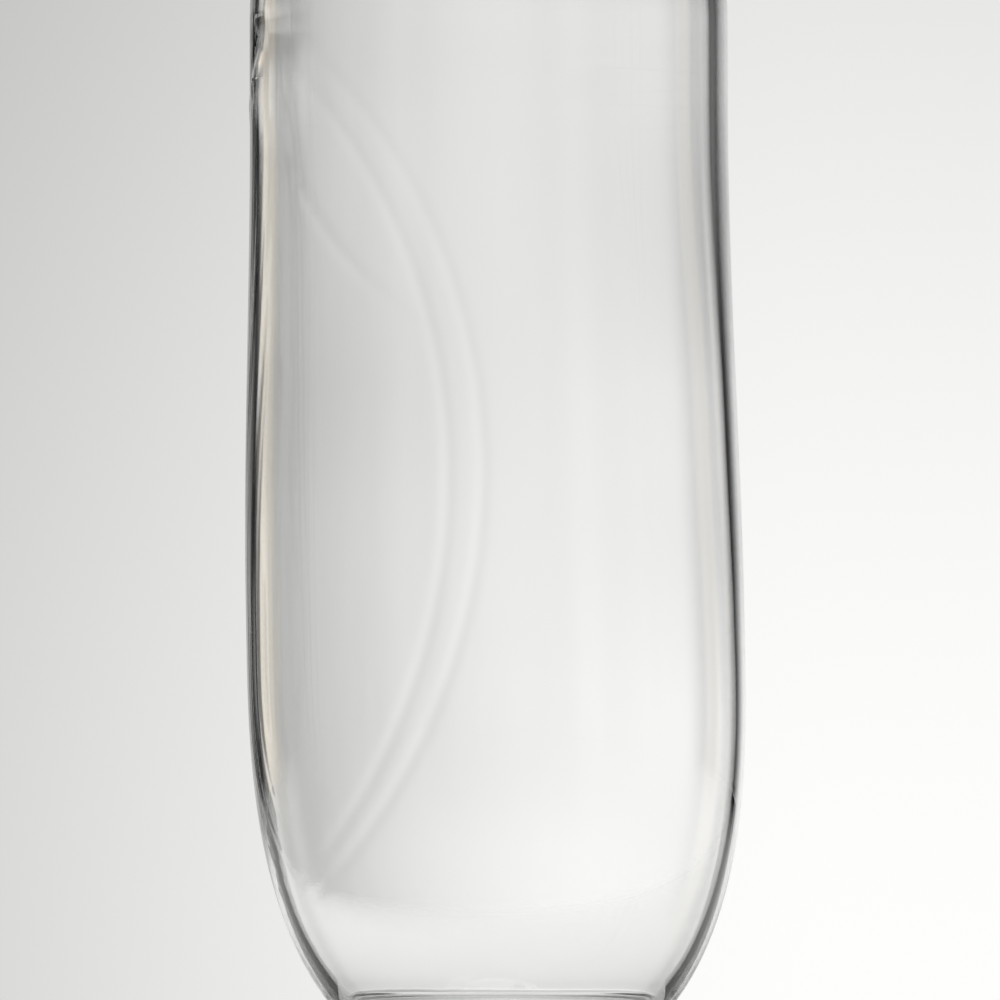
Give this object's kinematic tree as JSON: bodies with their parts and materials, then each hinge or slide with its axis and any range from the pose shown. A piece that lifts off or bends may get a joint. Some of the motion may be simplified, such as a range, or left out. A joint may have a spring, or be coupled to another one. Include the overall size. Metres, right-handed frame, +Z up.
{
  "type": "tubulated retort flask",
  "caption": "Clear blown-glass retort: a tall round-bottomed body, a shoulder bending into a long tapering side neck, and a stoppered tubulature on top.",
  "frame": {"origin": "centre of the flat base that the body stands on", "axes": "+Z up along the body, -X towards the neck, Y across; the flask is symmetric about the plane Y = 0"},
  "size_m": [0.3141, 0.075, 0.297],
  "materials": {
    "clear_glass": "clear, fire-polished",
    "fused_glass": "clear, slightly rippled where two sections are fused",
    "ground_glass": "ground matt"
  },
  "bodies": {
    "flask": {"body": "clear_glass", "body_seam": "fused_glass", "shoulder": "clear_glass", "neck_seam": "fused_glass", "neck": "clear_glass", "neck_tip": "clear_glass", "tubulature_collar": "fused_glass", "tubulature": "clear_glass", "ground_socket": "ground_glass"},
    "stopper": {"stopper_plug": "ground_glass", "stopper_grip": "clear_glass"}
  },
  "joints": [
    {"name": "stopper_lift", "type": "slide", "parent": "flask", "child": "stopper", "axis": [0, 0, 1], "range_m": [0, 0.045]}
  ]
}
